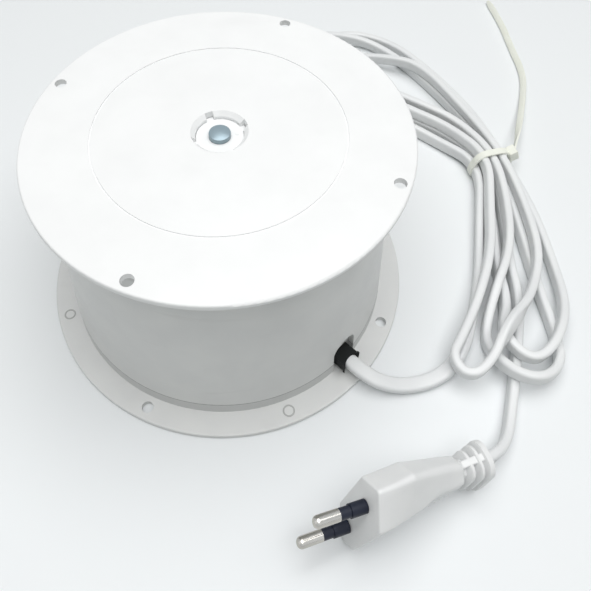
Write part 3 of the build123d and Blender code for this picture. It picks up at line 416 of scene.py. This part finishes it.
def noise(tree, place, scale, detail=4.0, stretch=None):
    """Noise of object space at a scale in turns per metre."""
    texture = node_of(tree, "ShaderNodeTexNoise")
    texture.inputs["Scale"].default_value = scale
    texture.inputs["Detail"].default_value = detail
    if stretch:
        mapping = node_of(tree, "ShaderNodeMapping")
        mapping.inputs["Scale"].default_value = stretch
        tree.links.new(place, mapping.inputs["Vector"])
        place = mapping.outputs["Vector"]
    tree.links.new(place, texture.inputs["Vector"])
    return texture.outputs["Fac"]


def ranged(tree, value, low, high, to_low, to_high):
    """Value mapped from one range to another."""
    node = node_of(tree, "ShaderNodeMapRange")
    for name, number in (("From Min", low), ("From Max", high), ("To Min", to_low), ("To Max", to_high)):
        node.inputs[name].default_value = number
    tree.links.new(value, node.inputs["Value"])
    return node.outputs["Result"]


def mixed(tree, factor, first, second):
    """Colour between two colours; either may be a socket."""
    node = node_of(tree, "ShaderNodeMix", data_type="RGBA")
    tree.links.new(factor, node.inputs["Factor"])
    for socket, colour in ((node.inputs[6], first), (node.inputs[7], second)):
        if isinstance(colour, tuple):
            socket.default_value = (*colour, 1.0)
        else:
            tree.links.new(colour, socket)
    return node.outputs[2]


def bumped(tree, height, strength, distance, under=None):
    """Normal bent by a height."""
    node = node_of(tree, "ShaderNodeBump")
    node.inputs["Strength"].default_value = strength
    node.inputs["Distance"].default_value = distance
    tree.links.new(height, node.inputs["Height"])
    if under is not None:
        tree.links.new(under, node.inputs["Normal"])
    return node.outputs["Normal"]


def surface(name, colour, shade, roughness, spread=0.05, mottle=60.0, grain=2600.0, grain_depth=0.00002,
            stretch=None, extra=None, **sockets):
    """Material whose colour, gloss and grain vary over the surface."""
    material = bpy.data.materials.new(name)
    material.use_nodes = True
    tree = material.node_tree
    shader = tree.nodes["Principled BSDF"]
    place = node_of(tree, "ShaderNodeTexCoord").outputs["Object"]
    cloud = noise(tree, place, mottle, 5.0)
    tint = mixed(tree, ranged(tree, cloud, 0.35, 0.7, 0.0, 1.0), colour, shade)
    gloss = ranged(tree, noise(tree, place, mottle * 5, 3.0, stretch), 0.3, 0.7,
                   max(roughness - spread, 0.03), roughness + spread)
    normal = bumped(tree, noise(tree, place, grain, 2.0, stretch), 0.25, grain_depth)
    if extra:
        tint, normal = extra(tree, place, tint, normal)
    tree.links.new(tint, shader.inputs["Base Color"])
    tree.links.new(gloss, shader.inputs["Roughness"])
    tree.links.new(normal, shader.inputs["Normal"])
    for socket, value in sockets.items():
        shader.inputs[socket.replace("_", " ")].default_value = value
    return material


def seam_and_painted_shade(tree, place, tint, normal):
    """Dark parting line at the seam's height, a greyer band of painted shade below it and light scuffs."""
    height = node_of(tree, "ShaderNodeSeparateXYZ")
    tree.links.new(place, height.inputs["Vector"])
    away = node_of(tree, "ShaderNodeMath", operation="SUBTRACT")
    tree.links.new(height.outputs["Z"], away.inputs[0])
    away.inputs[1].default_value = SEAM_Z
    distance = node_of(tree, "ShaderNodeMath", operation="ABSOLUTE")
    tree.links.new(away.outputs[0], distance.inputs[0])
    line = ranged(tree, distance.outputs[0], SEAM_HALF * 0.6, SEAM_HALF * 1.6, 1.0, 0.0)
    scuff = ranged(tree, noise(tree, place, 38.0, 8.0, (1.0, 1.0, 6.0)), 0.66, 0.8, 0.0, 0.35)
    tint = mixed(tree, scuff, tint, (0.62, 0.62, 0.61))
    # Greyer band on the upstand between its foot and the seam: painted shade
    below = ranged(tree, height.outputs["Z"], UPSTAND_Z, UPSTAND_Z + SEAM_HALF, 0.0, 1.0)
    above = ranged(tree, height.outputs["Z"], SEAM_Z - SEAM_HALF, SEAM_Z, 1.0, 0.0)
    painted_shade_band = node_of(tree, "ShaderNodeMath", operation="MULTIPLY")
    tree.links.new(below, painted_shade_band.inputs[0])
    tree.links.new(above, painted_shade_band.inputs[1])
    tint = mixed(tree, painted_shade_band.outputs[0], tint, (0.60, 0.605, 0.60))
    tint = mixed(tree, line, tint, (0.22, 0.225, 0.23))
    return tint, bumped(tree, line, -0.8, 0.0002, normal)


def turned_rings(tree, place, tint, normal):
    """Fine rings left by the lathe."""
    rings = node_of(tree, "ShaderNodeTexWave", wave_type="RINGS", rings_direction="Z")
    rings.inputs["Scale"].default_value = 900.0
    rings.inputs["Distortion"].default_value = 0.6
    tree.links.new(place, rings.inputs["Vector"])
    return tint, bumped(tree, rings.outputs["Fac"], 0.2, 0.00003, normal)


def moulded_plate(tree, place, tint, normal):
    """Faint handling marks on the plate."""
    marks = ranged(tree, noise(tree, place, 24.0, 9.0, (1.0, 3.0, 1.0)), 0.62, 0.78, 0.0, 0.25)
    return mixed(tree, marks, tint, (0.80, 0.80, 0.80)), normal


MATERIALS = {
    "white_plate": surface("white_plate", (0.90, 0.905, 0.905), (0.87, 0.875, 0.875), 0.34,
                           extra=moulded_plate, IOR=1.46),
    # Same white plastic as the plate, made greyer here as painted shade on the drum and base
    "white_drum": surface("white_drum", (0.76, 0.765, 0.755), (0.72, 0.725, 0.72), 0.36,
                          extra=seam_and_painted_shade, IOR=1.46),
    "white_nylon": surface("white_nylon", (0.82, 0.82, 0.79), (0.77, 0.77, 0.74), 0.5),
    "plated_steel": surface("plated_steel", (0.30, 0.375, 0.41), (0.24, 0.31, 0.345), 0.36, 0.08,
                            extra=turned_rings, Metallic=0.6),
    "bearing_steel": surface("bearing_steel", (0.62, 0.62, 0.63), (0.52, 0.52, 0.54), 0.22,
                             extra=turned_rings, Metallic=1.0),
    "bronze": surface("bronze", (0.55, 0.38, 0.19), (0.42, 0.28, 0.13), 0.42, Metallic=1.0),
    "motor_steel": surface("motor_steel", (0.55, 0.56, 0.57), (0.47, 0.48, 0.5), 0.38,
                           stretch=(1.0, 1.0, 12.0), Metallic=1.0),
    "gear_acetal": surface("gear_acetal", (0.80, 0.79, 0.72), (0.75, 0.74, 0.67), 0.42),
    "cord_pvc": surface("cord_pvc", (0.83, 0.84, 0.84), (0.77, 0.78, 0.79), 0.38, mottle=35.0,
                        grain=1800.0, Coat_Weight=0.15, Coat_Roughness=0.3),
    "black_sleeve": surface("black_sleeve", (0.004, 0.0055, 0.005), (0.007, 0.008, 0.008), 0.6,
                            grain=1400.0, grain_depth=0.00004, Specular_IOR_Level=0.2),
    "plug_pvc": surface("plug_pvc", (0.84, 0.845, 0.845), (0.79, 0.795, 0.80), 0.36, grain=1500.0,
                        Coat_Weight=0.1, Coat_Roughness=0.35),
    "pin_nickel": surface("pin_nickel", (0.56, 0.54, 0.50), (0.44, 0.42, 0.38), 0.2, 0.08,
                          stretch=(1.0, 1.0, 8.0), Metallic=1.0),
    "pin_insulation": surface("pin_insulation", (0.006, 0.009, 0.022), (0.011, 0.014, 0.028), 0.42,
                              Specular_IOR_Level=0.35),
    # Same white plastic as the flange, painted grey as the shade that shows the raised rings
    "painted_shade_ring_mark": surface("painted_shade_ring_mark", (0.50, 0.505, 0.495), (0.46, 0.465, 0.455), 0.5),
    "tie_nylon": surface("tie_nylon", (0.93, 0.94, 0.86), (0.90, 0.91, 0.82), 0.34, mottle=90.0),
}


def dress_nodes():
    """Give every CAD node the finish of its material slot."""
    for part in frame["record"]["subparts"]:
        node = NODES[part["node"]]
        node.data.shade_smooth()
        if not node.material_slots:
            node.data.materials.append(None)
        for holder in node.material_slots:
            holder.material = MATERIALS[part["material_slot"]]


def finish_piece(piece, slot_name, *replaced):
    """Material and replaced nodes of a new piece that rides the housing."""
    piece.data.materials.append(MATERIALS[slot_name])
    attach(piece, "housing")
    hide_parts(*replaced)
    return piece


# Cord

def eased(value, start, end):
    """Smooth rise from 0 to 1 between two values."""
    share = min(max((value - start) / (end - start), 0.0), 1.0)
    return share * share * (3 - 2 * share)


def roll_at(travelled, height, left):
    """Turn of the flat cord's wide side from level, in radians."""
    on_edge = eased(travelled, FLAT_UNTIL, ON_EDGE_FROM)
    waver = WAVER * (sin(travelled / WAVER_LONG) + WAVER_SHARE * sin(travelled / WAVER_SHORT + 1.0))
    waver *= eased(travelled, ON_EDGE_FROM, WAVER_FULL) * eased(left, *WAVER_END)
    return pi / 2 * on_edge + waver + LEAN * eased(height, LEAN_FROM, LEAN_FULL)


def make_cord():
    """The whole flat cord, from its sleeve through the bundle to the plug."""
    points = smooth_line("cord_line", [Vector(p) for p in LEAD] + pushed_out(BUNDLE)
                         + [Vector(p) for p in PLUG_LEAD], CORD_STEPS)
    a, b = CORD_WIDTH / 2, CORD_THICK / 2
    section = rounded_outline([(a, b), (-a, b), (-a, -b), (a, -b)], CORD_EDGE, steps=4)
    rings = []
    frames = frames_along(points)
    whole = frames[-1][3]
    for place, side, up, travelled in frames:
        roll = roll_at(travelled, place.z, whole - travelled)
        wide = side * cos(roll) + up * sin(roll)
        thin = up * cos(roll) - side * sin(roll)
        rings.append([place + wide * u + thin * v for u, v in section])
    cord = piece_of("flat_cord", *skin(rings), crease=60.0)
    finish_piece(cord, "cord_pvc", "power_cord", "cord_hank", "plug_cord")
    return cord, points


# Plug

PLUG_PLACE = (Matrix.Translation(PLUG_AT) @ Matrix.Rotation(PLUG_YAW, 4, "Z")
              @ Matrix.Rotation(PLUG_TILT, 4, "Y") @ Matrix.Rotation(pi / 2, 4, "X"))


def plug_point(x, a, b):
    """World place of a point of the plug, x behind its face, bent as its tail is."""
    bent = eased(x, 0.0, PLUG_BODY)
    return PLUG_PLACE @ Vector((x, a + PLUG_RISE * bent, b - PLUG_BEND * bent))


def plug_corners(x):
    """The six corners of the plug's section, x behind its face."""
    flat = (NECK_WIDTH - NECK_HEIGHT) / 2
    neck = [(NECK_WIDTH / 2, 0), (flat, NECK_HEIGHT / 2), (-flat, NECK_HEIGHT / 2),
            (-NECK_WIDTH / 2, 0), (-flat, -NECK_HEIGHT / 2), (flat, -NECK_HEIGHT / 2)]
    corners = []
    for wide, narrow, start in zip(PLUG_CORNERS, neck, PLUG_DRAWN_FROM):
        share = min(max((x - start) / (PLUG_BODY - start), 0.0), 1.0)
        corners.append(Vector(wide).lerp(Vector(narrow), share ** PLUG_TAPER))
    return corners


def pressed(x, a, b):
    """Point of a section with the finger dents pressed into the flat sides."""
    dent_x = (x - DENT_X) / DENT_LONG
    dent_a = (a - DENT_A) / DENT_WIDE
    inside = max(0.0, 1 - dent_x * dent_x - dent_a * dent_a)
    if abs(b) > SIDES_FROM:
        b -= (1 if b > 0 else -1) * DENT_DEPTH * min(1.0, DENT_SLOPE * inside)
    return plug_point(x, a, b)


def flat_side(x, a, side):
    """Height of a flat side of the plug at a place on it."""
    corners = plug_corners(x)
    start, end = (corners[1], corners[2]) if side > 0 else (corners[5], corners[4])
    return start.y + (end.y - start.y) * (a - start.x) / (end.x - start.x)


def make_plug():
    """Moulded plug with rounded edges, drawn-in sides, finger dents and grip dots."""
    start = FACE_EDGE[-1][0]
    sides = [(start + PLUG_SIDES * k / PLUG_STEPS, 0.0) for k in range(1, PLUG_STEPS + 1)]
    rings = []
    for x, inset in FACE_EDGE + sides + BACK_EDGE:
        corners = [corner * (1 - inset / corner.length / 2) for corner in plug_corners(x)]
        outline = rounded_outline(corners, PLUG_ROUND * (1 + x / PLUG_BODY), steps=4, cuts=8)
        rings.append([pressed(x, a, b) for a, b in outline])
    vertices, faces = skin(rings)
    for side in (1, -1):
        for k in range(GRIP_DOTS):
            turn = radians(GRIP_START + GRIP_SPAN * k / (GRIP_DOTS - 1))
            x = DENT_X - GRIP_LONG * cos(turn)
            a = DENT_A + GRIP_WIDE * sin(turn)
            add_skin(vertices, faces, dome(x, a, flat_side(x, a, side), side))
    plug = piece_of("moulded_plug", vertices, faces, crease=50.0)
    return finish_piece(plug, "plug_pvc", "plug_body")


def dome(x, a, b, side):
    """Small raised dot on a flat side of the plug."""
    rings = []
    for level in range(DOT_LEVELS + 1):
        tilt = pi / 2 * level / DOT_LEVELS
        radius = DOT_R * max(cos(tilt), DOT_TOP)
        height = b + side * (DOT_R * DOT_RISE * sin(tilt) - DOT_ROOT)
        turns = [2 * pi * k / DOT_SIDES for k in range(DOT_SIDES)]
        rings.append([plug_point(x + radius * cos(turn), a + radius * sin(turn), height) for turn in turns])
    return skin(rings)


def relief_ring(x, width, height, round_r):
    """Rounded box section of the strain relief."""
    a, b = width / 2, height / 2
    outline = rounded_outline([(a, b), (-a, b), (-a, -b), (a, -b)], round_r)
    return [plug_point(x, *point) for point in outline]


def make_relief():
    """Strain relief: a core, ribs that grow to an end flange, and two rails along their edges."""
    vertices, faces = [], []
    start = PLUG_BODY - RELIEF_ROOT
    core = [relief_ring(start + (RELIEF_END - start) * k / RELIEF_STEPS, *CORE)
            for k in range(RELIEF_STEPS + 1)]
    add_skin(vertices, faces, skin(core))
    for k in range(RIBS):
        x = PLUG_BODY + RIB_FIRST + RIB_STEP * k
        width = RIB_WIDTH + RIB_WIDER * k
        height = RIB_HEIGHT + RIB_TALLER * k
        half = RIB_HALF if k < RIBS - 1 else END_RIB_HALF
        steps = ((-half, RIB_INSET), (RIB_BEVEL - half, 0.0), (half - RIB_BEVEL, 0.0), (half, RIB_INSET))
        rib = [relief_ring(x + along, width - inset, height - inset, height * RIB_ROUND)
               for along, inset in steps]
        add_skin(vertices, faces, skin(rib))
    for side in (1, -1):
        rail = []
        for k in range(RELIEF_STEPS + 1):
            share = k / RELIEF_STEPS
            edge = RAIL_EDGE + RAIL_WIDER * share
            corners = [(side * edge, RAIL_HALF), (side * edge, -RAIL_HALF),
                       (side * RAIL_FOOT, -RAIL_HALF), (side * RAIL_FOOT, RAIL_HALF)]
            x = start + (RELIEF_END - RAIL_SHORT - start) * share
            rail.append([plug_point(x, *point) for point in rounded_outline(corners, RAIL_ROUND)])
        add_skin(vertices, faces, skin(rail))
    relief = piece_of("ribbed_relief", vertices, faces, crease=50.0)
    return finish_piece(relief, "plug_pvc", "plug_relief")


# Cable tie

def across_waist(u, z, along):
    """World place from the waist's own directions."""
    side = WAIST_TURN - pi / 2
    return Vector((WAIST[0] + u * cos(side) + along * cos(WAIST_TURN),
                   WAIST[1] + u * sin(side) + along * sin(WAIST_TURN), z))


def tie_outline(grow):
    """Outline of the band round the strands, grown outward."""
    corners = [(-TIE_HALF - grow, TIE_LOW - grow), (TIE_HALF + grow, TIE_LOW - grow),
               (TIE_HALF + grow, TIE_SHOULDER), (TIE_TOP_HALF + grow, TIE_HIGH + grow),
               (-TIE_TOP_HALF - grow, TIE_HIGH + grow), (-TIE_HALF - grow, TIE_SHOULDER)]
    radii = [radius + grow for radius in TIE_CORNERS]
    return rounded_outline(corners, radii, steps=8, cuts=3)


def make_tie():
    """Band, head and ridged tail of the cable tie, as one piece."""
    half = TIE_WIDTH / 2
    soft = TIE_SOFT
    section = [(0.0, -half + soft), (soft, -half), (TIE_THICK - soft, -half), (TIE_THICK, -half + soft),
               (TIE_THICK, half - soft), (TIE_THICK - soft, half), (soft, half), (0.0, half - soft)]
    outlines = {grow: tie_outline(grow) for grow, _ in section}
    rings = [[across_waist(*outlines[grow][k], along) for grow, along in section]
             for k in range(len(outlines[0.0]))]
    vertices, faces = skin(rings, looped=True)

    slope = Vector((TIE_TOP_HALF - TIE_HALF, TIE_HIGH - TIE_SHOULDER)).normalized()
    out = Vector((slope.y, -slope.x))
    middle = Vector((TIE_HALF + TIE_TOP_HALF, TIE_SHOULDER + TIE_HIGH)) / 2
    middle += out * (TIE_THICK + HEAD_THICK * HEAD_OUT)
    head = []
    steps = ((-HEAD_HALF, HEAD_INSET), (HEAD_BEVEL - HEAD_HALF, 0.0),
             (HEAD_HALF - HEAD_BEVEL, 0.0), (HEAD_HALF, HEAD_INSET))
    for along, inset in steps:
        reach, tall = out * (HEAD_THICK / 2 - inset), slope * (HEAD_TALL / 2 - inset)
        corners = [middle - reach - tall, middle + reach - tall, middle + reach + tall, middle - reach + tall]
        head.append([across_waist(u, z, along) for u, z in rounded_outline(corners, HEAD_ROUND)])
    add_skin(vertices, faces, skin(head))

    start = across_waist(middle.x + TAIL_START, middle.y, 0.0)
    line = smooth_line("tail_line", [start] + [Vector(place) for place in TAIL_ROUTE], TAIL_STEPS)
    whole = frames_along(line)[-1][3]
    tail = []
    for k, (place, side, up, travelled) in enumerate(frames_along(line)):
        ridge = TAIL_RIDGE if k % 2 else 0.0
        narrow = min(1.0, TAIL_TIP_SHARE + (whole - travelled) / TAIL_TIP)
        tall = half * narrow * TAIL_SHARE
        outer, inner = TIE_THICK / 2, -TIE_THICK / 2 + ridge
        corners = [(outer, -tall), (outer, tall), (inner + soft, tall), (inner, tall - TAIL_GROOVE),
                   (inner, TAIL_GROOVE - tall), (inner + soft, -tall)]
        lean = TAIL_LEAN * eased(travelled, *TAIL_TURN)
        face = side * cos(lean) - up * sin(lean)
        tall_way = up * cos(lean) + side * sin(lean)
        tail.append([place + face * a + tall_way * b for a, b in corners])
    add_skin(vertices, faces, skin(tail))
    tie = piece_of("nylon_tie", vertices, faces, crease=35.0)
    return finish_piece(tie, "tie_nylon", "cable_tie")


# Spindle's end and ring marks

def make_spindle_end():
    """Turned end of the spindle, which stands up to the plate's face."""
    low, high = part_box("spindle")[1][2], CAD_BOX[1][2] - SPINDLE_SUNK
    profile = [(SPINDLE_END_R, low - SPINDLE_OVERLAP)]
    profile += [(SPINDLE_END_R - inset, high - below) for inset, below in SPINDLE_EDGE]
    turns = [2 * pi * k / SPINDLE_SIDES for k in range(SPINDLE_SIDES)]
    rings = [[Vector((r * cos(turn), r * sin(turn), z)) for turn in turns] for r, z in profile]
    end = piece_of("spindle_end", *skin(rings), crease=35.0)
    end.data.materials.append(MATERIALS["plated_steel"])
    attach(end, "turntable")


def make_marks():
    """Raised rings moulded between the flange's holes, in a grey of painted shade."""
    vertices, faces = [], []
    for quarter in range(4):
        azimuth = MARK_FIRST + quarter * pi / 2
        middle = Vector((MARK_CIRCLE * cos(azimuth), MARK_CIRCLE * sin(azimuth), FLANGE_TOP))
        rings = []
        for k in range(MARK_SIDES):
            turn = 2 * pi * k / MARK_SIDES
            out = Vector((cos(turn), sin(turn), 0.0))
            arc = [pi * j / MARK_ARC for j in range(MARK_ARC + 1)]
            rings.append([middle + out * (MARK_MIDDLE + MARK_HALF * cos(rise))
                          + Vector((0, 0, MARK_RISE * sin(rise) - MARK_ROOT)) for rise in arc])
        add_skin(vertices, faces, skin(rings, looped=True))
    marks = piece_of("ring_marks", vertices, faces)
    marks.data.materials.append(MATERIALS["painted_shade_ring_mark"])
    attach(marks, "housing")


# Stage, lights and camera

def make_stage():
    """Plain pale floor."""
    corners = [(a * FLOOR_HALF, b * FLOOR_HALF, FLOOR_Z) for a, b in ((-1, -1), (1, -1), (1, 1), (-1, 1))]
    floor = piece_of("floor", corners, [(0, 1, 2, 3)])
    paper = surface("floor_paper", (0.88, 0.90, 0.91), (0.87, 0.89, 0.905), 0.75, mottle=4.0,
                    grain=900.0, extra=pale_to_camera)
    floor.data.materials.append(paper)


def direct_rays(tree):
    """1 for rays that show the stage itself, 0 for those that only carry its light."""
    rays = node_of(tree, "ShaderNodeLightPath")
    seen = rays.outputs["Is Camera Ray"]
    for name in ("Is Glossy Ray", "Is Transmission Ray"):
        either = node_of(tree, "ShaderNodeMath", operation="MAXIMUM")
        tree.links.new(seen, either.inputs[0])
        tree.links.new(rays.outputs[name], either.inputs[1])
        seen = either.outputs[0]
    return seen


def pale_to_camera(tree, place, tint, normal):
    """Floor that is pale to look at and throws less light back."""
    return mixed(tree, direct_rays(tree), (0.58, 0.60, 0.60), tint), normal


def make_light(name, place, aim, size, watts, colour=(1.0, 1.0, 1.0)):
    """Square soft lamp aimed at a point."""
    lamp = bpy.data.lights.new(name, "AREA")
    lamp.size = size
    lamp.energy = watts
    lamp.color = colour
    holder = bpy.data.objects.new(name, lamp)
    holder.location = place
    holder.rotation_euler = (Vector(aim) - Vector(place)).to_track_quat("-Z", "Y").to_euler()
    holder.visible_camera = False
    SCENE.collection.objects.link(holder)


def make_world():
    """Dim even light, with a pale background for the camera and reflections."""
    world = bpy.data.worlds.new("studio")
    world.use_nodes = True
    tree = world.node_tree
    dim = tree.nodes["Background"]
    dim.inputs["Color"].default_value = (0.97, 1.0, 0.97, 1.0)
    dim.inputs["Strength"].default_value = 0.22
    pale = node_of(tree, "ShaderNodeBackground")
    pale.inputs["Color"].default_value = (0.84, 0.88, 0.93, 1.0)
    mix = node_of(tree, "ShaderNodeMixShader")
    tree.links.new(direct_rays(tree), mix.inputs[0])
    tree.links.new(dim.outputs[0], mix.inputs[1])
    tree.links.new(pale.outputs[0], mix.inputs[2])
    tree.links.new(mix.outputs[0], tree.nodes["World Output"].inputs["Surface"])
    SCENE.world = world


def make_camera():
    """Camera at the photograph's viewing angle."""
    forward = cos(CAMERA_PITCH)
    ahead = Vector((sin(CAMERA_YAW) * forward, cos(CAMERA_YAW) * forward, -sin(CAMERA_PITCH)))
    level = Vector((cos(CAMERA_YAW), -sin(CAMERA_YAW), 0.0))
    above = level.cross(ahead)
    right = level * cos(CAMERA_ROLL) + above * sin(CAMERA_ROLL)
    up = above * cos(CAMERA_ROLL) - level * sin(CAMERA_ROLL)
    lens = bpy.data.cameras.new("camera")
    lens.sensor_width = SENSOR_MM
    lens.lens = FOCAL_PX / PHOTO_PX * SENSOR_MM
    lens.shift_x = 0.5 - CENTRE_PX[0] / PHOTO_PX
    lens.shift_y = CENTRE_PX[1] / PHOTO_PX - 0.5
    lens.clip_start = 0.005
    camera = bpy.data.objects.new("camera", lens)
    turn = Matrix((right, up, -ahead)).transposed().to_4x4()
    camera.matrix_world = Matrix.Translation(CAMERA_AT) @ turn
    SCENE.collection.objects.link(camera)
    SCENE.camera = camera


# The scene

SCENE.view_settings.view_transform = "Standard"
make_camera()
make_world()
make_stage()
make_light("top_softbox", (0.10, -0.06, 1.1), (0.03, 0.0, 0.0), 1.2, 12.4)
make_light("front_fill", (0.5, -0.9, 0.7), (0.0, 0.0, 0.03), 0.8, 0.3)
make_light("left_fill", (-0.9, -0.3, 0.5), (0.0, 0.0, 0.04), 0.8, 0.6)
dress_nodes()
CORD, CORD_LINE = make_cord()
PLUG = make_plug()
RELIEF = make_relief()
make_marks()
make_spindle_end()
TIE = make_tie()
